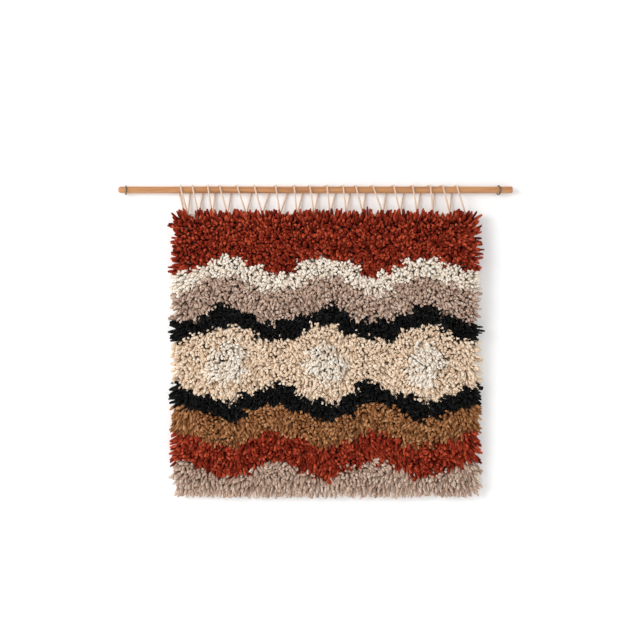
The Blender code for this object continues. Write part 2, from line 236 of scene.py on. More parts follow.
# How much further out the fan reaches along each side, by z on the left and right, or by x
LEFT_WANDER = (
    ("z", "out"),
    (-0.680, -0.012),
    (-0.640, -0.004),
    (-0.560, 0.001),
    (-0.480, 0.005),
    (-0.430, 0.004),
    (-0.330, 0.001),
    (-0.240, 0.000),
    (-0.155, 0.004),
    (-0.100, 0.000),
    (-0.050, -0.004),
)
RIGHT_WANDER = (
    ("z", "out"),
    (-0.690, -0.005),
    (-0.600, 0.002),
    (-0.500, 0.001),
    (-0.450, 0.007),
    (-0.415, 0.000),
    (-0.380, 0.006),
    (-0.330, -0.004),
    (-0.220, -0.003),
    (-0.140, 0.001),
    (-0.123, 0.008),
    (-0.105, -0.008),
    (-0.070, 0.008),
    (-0.050, 0.004),
)
TOP_WANDER = (
    ("x", "out"),
    (-0.340, 0.004),
    (-0.310, 0.006),
    (-0.280, 0.001),
    (-0.220, 0.001),
    (0.000, 0.000),
    (0.150, 0.002),
    (0.260, 0.001),
    (0.340, 0.000),
)
FOOT_WANDER = (
    ("x", "out"),
    (-0.330, 0.004),
    (-0.300, 0.003),
    (-0.240, -0.003),
    (-0.130, 0.002),
    (0.000, 0.000),
    (0.140, 0.005),
    (0.250, 0.000),
    (0.350, -0.006),
)

# The canvas's back: the loop of each knot, and the stitches along the hem
LOOP_RADIUS = 0.0015
LOOP_HALF_HEIGHT = 0.0024
LOOP_RISE = 0.0011
LOOP_SINK = 0.0004
LOOP_WAVER = 0.00025
LOOP_RISE_SPREAD = 0.00015
LOOP_TONE_SPREAD = 0.15
LOOP_STEPS = np.array((-1.0, 0.0, 1.0))
# Places along the loops' yarn, which also give them a little of the tails' painted root shade
LOOP_SHARES = np.array((0.8, 0.9, 1.0))
CANVAS_COLUMNS = 56
CANVAS_ROWS = 52
HEM_ROLL = 0.0015
HEM_EDGE_SHIFTS = (-0.6, 0.0, 0.6)
NO_HEM = 0.01
STITCH_PITCH = 0.0085
STITCH_REACH = 0.0028
STITCH_RADIUS = 0.0004
STITCH_SLANT = 0.28 * STITCH_PITCH
STITCH_STEPS = np.array((-1.0, -0.4, 0.4, 1.0))
STITCH_LIFTS = np.array((-0.0003, 0.0007, 0.0007, -0.0003))

# Yarns, each from its deep tone to its pale one
YARNS = (
    ("name", "deep", "middle", "pale"),
    ("rust", (0.085, 0.006, 0.0035), (0.27, 0.026, 0.010), (0.56, 0.095, 0.042)),
    ("cream", (0.80, 0.66, 0.52), (0.93, 0.83, 0.71), (0.96, 0.91, 0.83)),
    ("taupe", (0.31, 0.20, 0.145), (0.55, 0.385, 0.295), (0.70, 0.56, 0.46)),
    ("black", (0.003, 0.003, 0.003), (0.007, 0.0068, 0.0068), (0.018, 0.017, 0.017)),
    ("beige", (0.68, 0.50, 0.34), (0.88, 0.68, 0.50), (0.95, 0.82, 0.67)),
    ("brown", (0.13, 0.045, 0.015), (0.35, 0.145, 0.053), (0.56, 0.29, 0.135)),
)
WOOL_SHEEN = 0.3
WOOL_SHEEN_ROUGHNESS = 0.5
WOOL_SHINE = 0.08
MOTTLE_SCALE = 420
MOTTLE_SHARE = 0.5
FUZZ_SCALE = 1500
FUZZ_HEIGHT = 0.0006
# Painted shade: each tail's colour darkens towards its root, down among the other tails
ROOT_PAINTED_SHADE = ((0.0, 0.8), (0.55, 0.95), (1.0, 1.0))
# Painted shade in the grooves between each tail's plies
PLY_GROOVE_PAINTED_SHADE = ((0.0, 0.75), (0.45, 1.0))

# Other materials: their colours at places on a ramp, and how fine their noises are
ROD_STOPS = ((0.32, (0.25, 0.10, 0.034)), (0.5, (0.44, 0.195, 0.070)), (0.68, (0.55, 0.28, 0.115)))
STEEL_STOPS = ((0.35, (0.055, 0.053, 0.05)), (0.65, (0.17, 0.165, 0.16)))
# The cord's darkest stop is the painted shade in the grooves between its plies
CORD_STOPS = ((0.0, (0.24, 0.14, 0.09)), (0.5, (0.60, 0.42, 0.31)), (1.0, (0.90, 0.72, 0.56)))
# The canvas's own cotton, kept a little darker than its threads as painted shade in the holes and gaps
# between them
GROUND_STOPS = ((0.3, (0.60, 0.53, 0.42)), (0.7, (0.74, 0.67, 0.56)))
THREAD_STOPS = ((0.3, (0.66, 0.60, 0.49)), (0.7, (0.80, 0.75, 0.65)))
SEWING_STOPS = ((0.3, (0.74, 0.70, 0.62)), (0.7, (0.88, 0.85, 0.78)))
GRAIN_SCALE = (14, 700, 700)
STREAK_SCALE = (5, 120, 120)
GRAIN_SHARE = 0.55
WEAR_SCALE = 900
CORD_FIBRE_SCALE = 1800
CORD_FIBRE_SHARE = 0.3
COTTON_FIBRE_SCALE = 1400
FIBRE_HEIGHT = 0.0002

CANVAS_LEFT = CANVAS_CENTRE_X - CANVAS_WIDTH / 2
CANVAS_RIGHT = CANVAS_CENTRE_X + CANVAS_WIDTH / 2
CANVAS_FOOT_Z = CANVAS_TOP_Z - CANVAS_HEIGHT
CANVAS_FRONT_Y = -CANVAS_THICKNESS / 2
CANVAS_BACK_Y = CANVAS_THICKNESS / 2 + HEM_THICKNESS
HOLE_Z = CANVAS_TOP_Z - HOLE_BELOW_TOP
HEM_EDGES_X = (CANVAS_LEFT + HEM_WIDTH, CANVAS_RIGHT - HEM_WIDTH)
HEM_EDGES_Z = (CANVAS_FOOT_Z + HEM_WIDTH, CANVAS_TOP_Z - HEM_WIDTH)
PILE_LEFT = CANVAS_LEFT + PILE_INSET
PILE_RIGHT = CANVAS_RIGHT - PILE_INSET
PILE_FOOT_Z = CANVAS_FOOT_Z + PILE_INSET
PILE_HEIGHT = PILE_TOP_Z - PILE_FOOT_Z
SPOT_Z = PILE_TOP_Z - BEIGE_MIDDLE * PILE_HEIGHT
SPOT_PLACES = [CANVAS_LEFT + (k + 0.5) * WAVE_LENGTH for k in range(SPOT_COUNT)]


def rows_of(table):
    """A table's rows, without the row that names its columns."""
    return table[1:]


def read_between(table, places):
    """The second column, read between the rows at places in the first, which rises."""
    firsts, seconds = zip(*rows_of(table))
    return np.interp(places, firsts, seconds)


def lean(z):
    """How far back of the rod's axis the canvas hangs at this height."""
    return FOOT_LEAN * np.clip((CANVAS_TOP_Z - np.asarray(z)) / CANVAS_HEIGHT, 0, None) ** LEAN_POWER


def unit(vectors):
    """The vectors at length 1, and those of no length as they are."""
    lengths = np.linalg.norm(vectors, axis=-1, keepdims=True)
    return vectors / np.where(lengths > 0, lengths, 1.0)


def smooth_step(share):
    return share * share * (3 - 2 * share)


# Materials


class Nodes:
    """A Principled material and short ways to add to its node tree."""

    def __init__(self, name, roughness, metallic=0.0):
        self.material = bpy.data.materials.new(name)
        self.material.use_nodes = True
        self.tree = self.material.node_tree
        self.shader = self.tree.nodes["Principled BSDF"]
        self.shader.inputs["Roughness"].default_value = roughness
        self.shader.inputs["Metallic"].default_value = metallic

    def add(self, kind, **values):
        node = self.tree.nodes.new(kind)
        for key, value in values.items():
            if hasattr(node, key):
                setattr(node, key, value)
            else:
                node.inputs[key.replace("_", " ").title()].default_value = value
        return node

    def link(self, start, end):
        self.tree.links.new(start, end)

    def place(self, scale):
        """The piece's own coordinates, scaled along each axis."""
        where = self.add("ShaderNodeTexCoord")
        mapping = self.add("ShaderNodeMapping")
        mapping.inputs["Scale"].default_value = scale
        self.link(where.outputs["Object"], mapping.inputs["Vector"])
        return mapping.outputs["Vector"]

    def noise(self, scale, detail=2.0, roughness=0.5):
        """Noise of this fineness, which may differ from axis to axis."""
        made = self.add("ShaderNodeTexNoise", Scale=1.0, Detail=detail, Roughness=roughness)
        self.link(self.place(scale if isinstance(scale, tuple) else (scale,) * 3), made.inputs["Vector"])
        return made.outputs["Fac"]

    def ramp(self, factor, stops):
        made = self.add("ShaderNodeValToRGB")
        elements = made.color_ramp.elements
        while len(elements) < len(stops):
            elements.new(0.5)
        for element, (position, colour) in zip(elements, stops):
            element.position = position
            element.color = (*colour, 1.0)
        self.link(factor, made.inputs["Fac"])
        return made.outputs["Color"]

    def math(self, operation, *values):
        made = self.add("ShaderNodeMath", operation=operation)
        for socket, value in zip(made.inputs, values):
            if isinstance(value, (int, float)):
                socket.default_value = value
            else:
                self.link(value, socket)
        return made.outputs["Value"]

    def mottled(self, tone, noise_value, share):
        """A tone with a share of a noise added, which leaves its mean as it was."""
        return self.math("ADD", tone, self.math("MULTIPLY", self.math("SUBTRACT", noise_value, 0.5), share))

    def multiply(self, colour, factor):
        """A colour made darker by a value from 0 to 1."""
        made = self.add("ShaderNodeMix", data_type="RGBA", blend_type="MULTIPLY")
        made.inputs["Factor"].default_value = 1.0
        self.link(colour, made.inputs[6])
        self.link(factor, made.inputs[7])
        return made.outputs[2]

    def colour(self, output):
        self.link(output, self.shader.inputs["Base Color"])

    def bump(self, height, distance, strength=1.0):
        made = self.add("ShaderNodeBump")
        made.inputs["Distance"].default_value = distance
        made.inputs["Strength"].default_value = strength
        self.link(height, made.inputs["Height"])
        self.link(made.outputs["Normal"], self.shader.inputs["Normal"])

    def strand(self):
        """A strand's tone, the place along it and the angle round it, from the mesh's own colours."""
        attribute = self.add("ShaderNodeAttribute", attribute_name="strand")
        split = self.add("ShaderNodeSeparateColor")
        self.link(attribute.outputs["Color"], split.inputs["Color"])
        across = self.math("SUBTRACT", split.outputs["Blue"], 0.5)
        up = self.math("SUBTRACT", attribute.outputs["Alpha"], 0.5)
        return split.outputs["Red"], split.outputs["Green"], self.math("ARCTAN2", up, across)


def greys(stops):
    """Stops of a ramp from greys."""
    return [(place, (grey,) * 3) for place, grey in stops]


def wool(name, deep, middle, pale):
    """Matte wool: each tail has a tone of its own, mottled along it, with painted shade that darkens it
    towards its root and in the grooves between its plies.
    """
    nodes = Nodes(name, 0.95)
    nodes.shader.inputs["Sheen Weight"].default_value = WOOL_SHEEN
    nodes.shader.inputs["Sheen Roughness"].default_value = WOOL_SHEEN_ROUGHNESS
    nodes.shader.inputs["Sheen Tint"].default_value = (*pale, 1.0)
    nodes.shader.inputs["Specular IOR Level"].default_value = WOOL_SHINE
    tone, along, around = nodes.strand()
    twist = nodes.math("MULTIPLY", along, 2 * math.pi * PLIES * PLY_TURNS)
    ply = nodes.math("SINE", nodes.math("ADD", nodes.math("MULTIPLY", around, PLIES), twist))
    ply = nodes.math("ADD", nodes.math("MULTIPLY", ply, 0.5), 0.5)
    mottle = nodes.noise(MOTTLE_SCALE, detail=3.0, roughness=0.6)
    mixed = nodes.mottled(tone, mottle, MOTTLE_SHARE)
    colour = nodes.ramp(mixed, ((0.0, deep), (0.5, middle), (1.0, pale)))
    # Painted shade: darker towards each tail's root, where the tails crowd together
    shade = nodes.ramp(along, greys(ROOT_PAINTED_SHADE))
    # Painted shade in the grooves between the plies; the same stripes also drive the bump
    grooves = nodes.ramp(ply, greys(PLY_GROOVE_PAINTED_SHADE))
    nodes.colour(nodes.multiply(nodes.multiply(colour, shade), grooves))
    fuzz = nodes.noise(FUZZ_SCALE, detail=3.0, roughness=0.7)
    nodes.bump(nodes.math("ADD", ply, fuzz), FUZZ_HEIGHT, 0.8)
    return nodes.material


def wool_materials():
    return {name: wool("wool_" + name, deep, middle, pale) for name, deep, middle, pale in rows_of(YARNS)}


def wood_material():
    """Honey-tan dowel: fine straight grain along X, with a few darker streaks and a thin satin varnish."""
    nodes = Nodes("dowel_wood", 0.42)
    nodes.shader.inputs["Coat Weight"].default_value = 0.15
    nodes.shader.inputs["Coat Roughness"].default_value = 0.3
    grain = nodes.noise(GRAIN_SCALE, detail=4.0, roughness=0.6)
    streaks = nodes.noise(STREAK_SCALE)
    fine = nodes.math("MULTIPLY", grain, GRAIN_SHARE)
    coarse = nodes.math("MULTIPLY", streaks, 1 - GRAIN_SHARE)
    nodes.colour(nodes.ramp(nodes.math("ADD", fine, coarse), ROD_STOPS))
    nodes.bump(grain, FIBRE_HEIGHT, 0.5)
    return nodes.material


def steel_material():
    nodes = Nodes("ring_wire_steel", 0.24, metallic=1.0)
    wear = nodes.noise(WEAR_SCALE)
    nodes.colour(nodes.ramp(wear, STEEL_STOPS))
    nodes.bump(wear, 0.00005, 0.3)
    return nodes.material


def cord_material():
    """Cream cotton cord, with painted shade that darkens it to brown in the grooves between its plies."""
    nodes = Nodes("lacing_cotton", 0.8)
    nodes.shader.inputs["Sheen Weight"].default_value = 0.2
    tone, _, _ = nodes.strand()
    fibre = nodes.noise(CORD_FIBRE_SCALE, detail=3.0, roughness=0.7)
    nodes.colour(nodes.ramp(nodes.mottled(tone, fibre, CORD_FIBRE_SHARE), CORD_STOPS))
    nodes.bump(fibre, FIBRE_HEIGHT, 0.5)
    return nodes.material


def cotton_material(name, stops):
    nodes = Nodes(name, 0.9)
    fibre = nodes.noise(COTTON_FIBRE_SCALE, detail=3.0, roughness=0.7)
    nodes.colour(nodes.ramp(fibre, stops))
    nodes.bump(fibre, FIBRE_HEIGHT, 0.6)
    return nodes.material


# Meshes of many tubes


def frames_along(paths, start):
    """Two directions across each path at each of its points, turned as little as possible on the way."""
    tangents = unit(np.gradient(paths, axis=1))
    across = np.empty_like(paths)
    current = start
    for k in range(paths.shape[1]):
        ahead = tangents[:, k]
        current = unit(current - np.sum(current * ahead, axis=-1, keepdims=True) * ahead)
        across[:, k] = current
    return across, np.cross(tangents, across)


def tube_points(paths, radii, sides, start, spin=0.0, flatness=1.0):
    """Points of closed tubes round the paths, as (tube, ring, side, xyz). Radii may differ by side."""
    across, up = frames_along(paths, start)
    angles = np.arange(sides) * 2 * math.pi / sides + np.asarray(spin)[..., None]
    angles = np.broadcast_to(angles, paths.shape[:2] + (sides,))
    radii = np.broadcast_to(radii, paths.shape[:2] + (sides,))[..., None]
    out = np.cos(angles)[..., None] * across[:, :, None]
    out = out + flatness * np.sin(angles)[..., None] * up[:, :, None]
    return paths[:, :, None] + radii * out


def tube_faces(tubes, rings, sides):
    """Corner indices of the tubes' sides, then of their caps."""
    ring = np.arange(rings - 1)[:, None]
    side = np.arange(sides)[None, :]
    after = (side + 1) % sides
    low = ring * sides
    high = low + sides
    walls = np.stack([low + side, low + after, high + after, high + side], axis=-1).reshape(-1, 4)
    caps = np.stack([np.arange(sides)[::-1], (rings - 1) * sides + np.arange(sides)])
    starts = (np.arange(tubes) * rings * sides)[:, None, None]
    return (walls[None] + starts).reshape(-1, 4), (caps[None] + starts).reshape(-1, sides)


def mesh_piece(name, points, face_groups, material, strand=None):
    """One smooth mesh from points and groups of faces, each group with one number of corners."""
    mesh = bpy.data.meshes.new(name)
    corners = np.concatenate([group.ravel() for group in face_groups])
    sizes = np.concatenate([np.full(len(group), group.shape[1]) for group in face_groups])
    starts = np.concatenate([[0], np.cumsum(sizes)[:-1]])
    mesh.vertices.add(len(points))
    mesh.vertices.foreach_set("co", points.astype(np.float32).ravel())
    mesh.loops.add(len(corners))
    mesh.loops.foreach_set("vertex_index", corners.astype(np.int32))
    mesh.polygons.add(len(sizes))
    mesh.polygons.foreach_set("loop_start", starts.astype(np.int32))
    mesh.update(calc_edges=True)
    mesh.polygons.foreach_set("use_smooth", np.ones(len(sizes), bool))
    if strand is not None:
        colours = mesh.attributes.new("strand", "FLOAT_COLOR", "POINT")
        colours.data.foreach_set("color", strand.astype(np.float32).ravel())
    mesh.materials.append(material)
    piece = bpy.data.objects.new(name, mesh)
    bpy.context.scene.collection.objects.link(piece)
    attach(piece, BODY)
    return piece


def strand_colours(tones, alongs):
    """Colours that hold each point's tone, its place along its strand and its direction round it."""
    around = np.arange(tones.shape[-1]) * 2 * math.pi / tones.shape[-1]
    colours = np.ones(tones.shape + (4,))
    colours[..., 0] = tones
    colours[..., 1] = alongs
    colours[..., 2] = 0.5 + 0.5 * np.cos(around)
    colours[..., 3] = 0.5 + 0.5 * np.sin(around)
    return colours.reshape(-1, 4)


# Pile


def wave_at(x, z):
    """How far the band edges have risen here: waves above the spots and their mirror below them."""
    rise = WAVE_HEIGHT * np.cos(2 * math.pi * (x - CANVAS_LEFT) / WAVE_LENGTH - math.pi)
    return np.where(z > SPOT_Z, rise, -rise)


def nearest_spot(x, z):
    """How far each place is from the middle of the nearest spot, and the way out from that middle."""
    away = np.stack([np.hypot(x - place, z - SPOT_Z) for place in SPOT_PLACES])
    nearest = np.argmin(away, axis=0)
    return away.min(axis=0), x - np.array(SPOT_PLACES)[nearest], z - SPOT_Z


def band_of(x, z):
    """The row of BANDS that each place lies in, or the number of rows for a spot."""
    share = (PILE_TOP_Z - (z - wave_at(x, z))) / PILE_HEIGHT
    ends = np.array([row[0] for row in rows_of(BANDS)])
    band = np.minimum(np.searchsorted(ends, share), len(ends) - 1)
    away, _, _ = nearest_spot(x, z)
    return np.where(away < SPOT_RADIUS, len(ends), band)


def noise_field(x, z, length, seed):
    """Smooth noise from -1 to 1 over the pile: two directions, and a third value."""
    return np.array([noise.noise_vector(Vector((a / length, b / length, seed))) for a, b in zip(x, z)])


def swirl_field(x, z, length, seed):
    """A smooth field of directions that parts the tails nowhere: the slopes of a noise, turned."""
    step = SWIRL_STEP * length
    along_x = noise_field(x + step, z, length, seed)[:, 2] - noise_field(x - step, z, length, seed)[:, 2]
    along_z = noise_field(x, z + step, length, seed)[:, 2] - noise_field(x, z - step, length, seed)[:, 2]
    return np.stack([along_z, -along_x], axis=-1) / (4 * SWIRL_STEP)


def knot_grid():
    """Where the knots lie: a regular grid, as the canvas's mesh is."""
    columns = int((PILE_RIGHT - PILE_LEFT) / MESH_PITCH)
    rows = int(PILE_HEIGHT / MESH_PITCH)
    x = np.linspace(PILE_LEFT, PILE_RIGHT, columns + 1)
    z = np.linspace(PILE_FOOT_Z, PILE_TOP_Z, rows + 1)
    x = (x[1:] + x[:-1]) / 2
    z = (z[1:] + z[:-1]) / 2
    across, up = np.meshgrid(x, z)
    return across.ravel(), up.ravel()


def fan_at(x, z):
    """How far the rim makes tails lean outwards here, in x and z."""
    left = np.exp((PILE_LEFT - x) / FAN_FADE) * (FAN_SIDE + read_between(LEFT_WANDER, z))
    right = np.exp((x - PILE_RIGHT) / FAN_FADE) * (FAN_SIDE + read_between(RIGHT_WANDER, z))
    top = np.exp((z - PILE_TOP_Z) / FAN_FADE) * (FAN_TOP + read_between(TOP_WANDER, x))
    foot = np.exp((PILE_FOOT_Z - z) / FAN_FADE) * (FAN_FOOT + read_between(FOOT_WANDER, x))
    return right - left, top - foot


def make_tails(x, z, band):
    """Paths, tones and rows of BANDS of both tails of every knot."""
    count = len(x)
    comb = swirl_field(x, z, COMB_LENGTH, COMB_SEED) * COMB_REACH
    tuft = swirl_field(x, z, TUFT_LENGTH, TUFT_SEED) * TUFT_REACH
    lump = noise_field(x, z, LUMP_LENGTH, LUMP_SEED)[:, 2] * LUMP_REACH
    away, out_x, out_z = nearest_spot(x, z)
    edge = np.minimum.reduce([x - PILE_LEFT, PILE_RIGHT - x, PILE_TOP_Z - z, z - PILE_FOOT_Z])
    calm = np.clip(edge / CALM_REACH, CALM_LEAST, 1)[:, None]
    swirl = (comb + tuft) * calm
    fan_x, fan_z = fan_at(x, z)
    drop = DROOP_AT_TOP + (DROOP_AT_FOOT - DROOP_AT_TOP) * (PILE_TOP_Z - z) / PILE_HEIGHT
    shoulder = np.clip((SPOT_RADIUS + SPOT_SHOULDER / 2 - away) / SPOT_SHOULDER, 0, 1)
    shoulder = smooth_step(shoulder)
    inside = away < SPOT_RADIUS
    extra = SPOT_EXTRA_LENGTH * shoulder
    lump = lump * (1 - (1 - SPOT_LUMP) * shoulder)
    paths, tones = [], []
    for hand in (-1, 1):
        length = TAIL_LENGTH + extra + lump + chance.normal(0, TAIL_LENGTH_SPREAD, count)
        scatter = chance.normal(0, TAIL_SCATTER, (count, 2))
        fan = chance.uniform(FAN_LEAST, 1.0, count)
        side_x = swirl[:, 0] + scatter[:, 0] + fan * fan_x + hand * KNOT_SPREAD
        side_z = swirl[:, 1] + scatter[:, 1] + fan * fan_z - drop
        side_x += np.where(inside, SPOT_FAN * out_x, 0)
        side_z += np.where(inside, SPOT_FAN * out_z, 0)
        sideways = np.hypot(side_x, side_z)
        limit = np.minimum(1, STEEPEST_LEAN * length / sideways)
        side_x, side_z, sideways = side_x * limit, side_z * limit, sideways * limit
        forward = np.sqrt(length**2 - sideways**2) * TAIL_SLACK
        root = np.stack([x + hand * KNOT_SPREAD, CANVAS_FRONT_Y + lean(z), z], axis=-1)
        out = np.stack([side_x, -forward, side_z], axis=-1)
        middle = root + out * (TAIL_BEND_SIDEWAYS, TAIL_BEND, TAIL_BEND_SIDEWAYS)
        tip = root + out
        t = TAIL_SHARES[None, :, None]
        paths.append((1 - t) ** 2 * root[:, None] + 2 * t * (1 - t) * middle[:, None] + t**2 * tip[:, None])
        tones.append(chance.normal(0.5, TONE_SPREAD, count))
    return np.concatenate(paths), np.clip(np.concatenate(tones), 0, 1), np.concatenate([band, band])


def make_pile(materials):
    x, z = knot_grid()
    jagged = noise_field(x, z, RAGGED_LENGTH, RAGGED_SEED) * RAGGED_EDGE
    band = band_of(x + jagged[:, 0], z + jagged[:, 1])
    paths, tones, bands = make_tails(x, z, band)
    loops, loop_tones, loop_bands = back_loops(x, z, band)
    zones = [(yarn, name) for _, yarn, name in rows_of(BANDS)] + [SPOT_ROW]
    pieces = []
    for index, (yarn, name) in enumerate(zones):
        mine = bands == index
        behind = loop_bands == index
        tails = (paths[mine], tones[mine])
        pieces.append(pile_zone(name, materials[yarn], *tails, loops[behind], loop_tones[behind]))
    return pieces


def pile_zone(name, material, paths, tones, loops, loop_tones):
    """The tails of one zone of colour, with the loops that their knots make behind the canvas."""
    count, rings = paths.shape[:2]
    turn = chance.uniform(0, 2 * math.pi, count)
    start = np.stack([np.cos(turn), np.zeros(count), np.sin(turn)], axis=-1)
    size = 1 + chance.uniform(-TAIL_RADIUS_SPREAD, TAIL_RADIUS_SPREAD, (count, 1))
    radii = (TAIL_RADII[None] * size)[..., None]
    points = tube_points(paths, radii, TAIL_SIDES, start, flatness=TAIL_FLATNESS)
    walls, caps = tube_faces(count, rings, TAIL_SIDES)
    shape = points.shape[:3]
    strand = strand_colours(
        np.broadcast_to(tones[:, None, None], shape),
        np.broadcast_to(TAIL_SHARES[None, :, None], shape),
    )
    points = points.reshape(-1, 3)
    groups = [walls, caps]
    if len(loops):
        first = len(points)
        start = np.tile((1.0, 0.0, 0.0), (len(loops), 1))
        ring_count = loops.shape[1]
        more = tube_points(loops, np.full((1, ring_count, 1), LOOP_RADIUS), TAIL_SIDES, start, math.pi / 4)
        walls, caps = tube_faces(len(loops), ring_count, TAIL_SIDES)
        groups += [walls + first, caps + first]
        shape = more.shape[:3]
        more_strand = strand_colours(
            np.broadcast_to(loop_tones[:, None, None], shape),
            np.broadcast_to(LOOP_SHARES[None, :, None], shape),
        )
        points = np.concatenate([points, more.reshape(-1, 3)])
        strand = np.concatenate([strand, more_strand])
    piece = mesh_piece("pile_" + name, points, groups, material, strand)
    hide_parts("pile")
    return piece


# Canvas from behind


def hem_share(x, z):
    """1 on the turned-back hem, 0 inside it, and between the two across its rounded edge."""
    edge = np.minimum.reduce([x - CANVAS_LEFT, CANVAS_RIGHT - x, z - CANVAS_FOOT_Z, CANVAS_TOP_Z - z])
    return smooth_step(np.clip((HEM_WIDTH - edge) / HEM_ROLL + 0.5, 0, 1))


def back_y(x, z):
    """The canvas's back face, which steps out where the hem lies on it."""
    return CANVAS_THICKNESS / 2 + HEM_THICKNESS * hem_share(x, z) + lean(z)


def back_loops(x, z, band):
    """A short loop of yarn over the canvas's thread behind each knot that the hem doesn't cover."""
    bare = hem_share(x, z) < NO_HEM
    x, z, band = x[bare], z[bare], band[bare]
    heights = np.array((-LOOP_SINK, LOOP_RISE, -LOOP_SINK))
    path_x = x[:, None] + chance.normal(0, LOOP_WAVER, (len(x), len(LOOP_STEPS)))
    path_z = z[:, None] + LOOP_STEPS * LOOP_HALF_HEIGHT
    path_y = back_y(x, z)[:, None] + heights + chance.normal(0, LOOP_RISE_SPREAD, (len(x), 1))
    tones = np.clip(chance.normal(0.5, LOOP_TONE_SPREAD, len(x)), 0, 1)
    return np.stack([path_x, path_y, path_z], axis=-1), tones, band


def line_places(low, high, count, breaks):
    """Places along a line: evenly spread, and closer together round the given breaks."""
    places = np.linspace(low, high, count)
    near = [at + shift * HEM_ROLL for at in breaks for shift in HEM_EDGE_SHIFTS]
    return np.unique(np.concatenate([places, near]))


def make_canvas(material):
    """The cloth itself: a closed sheet whose back face carries the hem."""
    x = line_places(CANVAS_LEFT, CANVAS_RIGHT, CANVAS_COLUMNS, HEM_EDGES_X)
    z = line_places(CANVAS_FOOT_Z, CANVAS_TOP_Z, CANVAS_ROWS, HEM_EDGES_Z)
    across, up = np.meshgrid(x, z)
    front = np.stack([across, np.full(across.shape, CANVAS_FRONT_Y) + lean(up), up], axis=-1)
    back = np.stack([across, back_y(across, up), up], axis=-1)
    rows, columns = across.shape
    index = np.arange(rows * columns).reshape(rows, columns)
    quads = np.stack([index[:-1, :-1], index[:-1, 1:], index[1:, 1:], index[1:, :-1]], axis=-1)
    quads = quads.reshape(-1, 4)
    size = rows * columns
    rim = np.concatenate([index[0, :-1], index[:-1, -1], index[-1, :0:-1], index[:0:-1, 0]])
    after = np.roll(rim, -1)
    edge = np.stack([rim, rim + size, after + size, after], axis=-1)
    points = np.concatenate([front.reshape(-1, 3), back.reshape(-1, 3)])
    faces = [quads, quads[:, ::-1] + size, edge]
    cloth = mesh_piece("canvas_cloth", points, faces, material)
    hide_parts("canvas")
    return cloth


def joined_tubes(name, batches, material):
    """One mesh from several batches of tubes, each (paths, radius, sides, start)."""
    points, groups = [], []
    first = 0
    for paths, radius, sides, start in batches:
        made = tube_points(paths, radius, sides, np.tile(start, (len(paths), 1)), math.pi / sides)
        walls, caps = tube_faces(*paths.shape[:2], sides)
        groups += [walls + first, caps + first]
        points.append(made.reshape(-1, 3))
        first += len(points[-1])
    return mesh_piece(name, np.concatenate(points), groups, material)


def make_threads(material):
    """The canvas's open mesh as it shows behind: warp threads in pairs, and one weft at each row of knots."""
    z = line_places(CANVAS_FOOT_Z + THREAD_INSET, CANVAS_TOP_Z - THREAD_INSET, WARP_POINTS, HEM_EDGES_Z)
    x = line_places(CANVAS_LEFT + THREAD_INSET, CANVAS_RIGHT - THREAD_INSET, WEFT_POINTS, HEM_EDGES_X)
    warp_count = int(CANVAS_WIDTH / MESH_PITCH)
    weft_count = int(CANVAS_HEIGHT / MESH_PITCH)
    warps = CANVAS_LEFT + (np.arange(warp_count) + 0.5) * CANVAS_WIDTH / warp_count
    warps = np.concatenate([warps - WARP_SPREAD / 2, warps + WARP_SPREAD / 2])
    wefts = CANVAS_FOOT_Z + (np.arange(weft_count) + 0.5) * CANVAS_HEIGHT / weft_count
    warp_x, warp_z = np.meshgrid(warps, z, indexing="ij")
    weft_z, weft_x = np.meshgrid(wefts, x, indexing="ij")
    warp_paths = np.stack([warp_x, back_y(warp_x, warp_z), warp_z], axis=-1)
    weft_paths = np.stack([weft_x, back_y(weft_x, weft_z) + THREAD_RADIUS / 2, weft_z], axis=-1)
    batches = [
        (warp_paths, THREAD_RADIUS, THREAD_SIDES, (1.0, 0.0, 0.0)),
        (weft_paths, THREAD_RADIUS, THREAD_SIDES, (0.0, 1.0, 0.0)),
    ]
    return joined_tubes("canvas_threads", batches, material)


def make_hem_stitches(material):
    """Slanted whip stitches of thread that hold the hem's inner edge down."""
    left, right = HEM_EDGES_X
    foot, top = HEM_EDGES_Z
    paths = []
    for low, high, fixed, upright in (
        (left, right, top, False),
        (left, right, foot, False),
        (foot, top, left, True),
        (foot, top, right, True),
    ):
        count = int((high - low) / STITCH_PITCH)
        for place in low + (np.arange(count) + 0.5) * (high - low) / count:
            along = place + STITCH_STEPS * STITCH_SLANT
            over = fixed + STITCH_STEPS * STITCH_REACH
            x, z = (over, along) if upright else (along, over)
            paths.append(np.stack([x, back_y(x, z) + STITCH_LIFTS, z], axis=-1))
    batch = (np.array(paths), STITCH_RADIUS, THREAD_SIDES, (0.0, 1.0, 0.0))
    return joined_tubes("hem_stitches", [batch], material)


# Lacing


def tangent_angle(y, z, radius):
    """Where a straight strand from (y, z) below meets the circle round the rod, as an angle from its top."""
    reach = math.hypot(y, ROD_RADIUS - z)
    return math.pi - math.asin(abs(y) / reach) - math.acos(radius / reach)


def through_hole(x):
    """The cord's points through one hole, from the canvas's front to its back."""
    near = CORD_RADIUS + 2 * CORD_EASE
    return [
        (x, CANVAS_FRONT_Y - near, HOLE_Z + CORD_TURN_HEIGHT),
        (x, CANVAS_FRONT_Y - CORD_TURN, HOLE_Z + CORD_TURN_RISE),
        (x, CANVAS_FRONT_Y + CORD_EASE, HOLE_Z),
        (x, CANVAS_BACK_Y - CORD_EASE, HOLE_Z),
        (x, CANVAS_BACK_Y + CORD_TURN, HOLE_Z + CORD_TURN_RISE),
        (x, CANVAS_BACK_Y + near, HOLE_Z + CORD_TURN_HEIGHT),
    ]


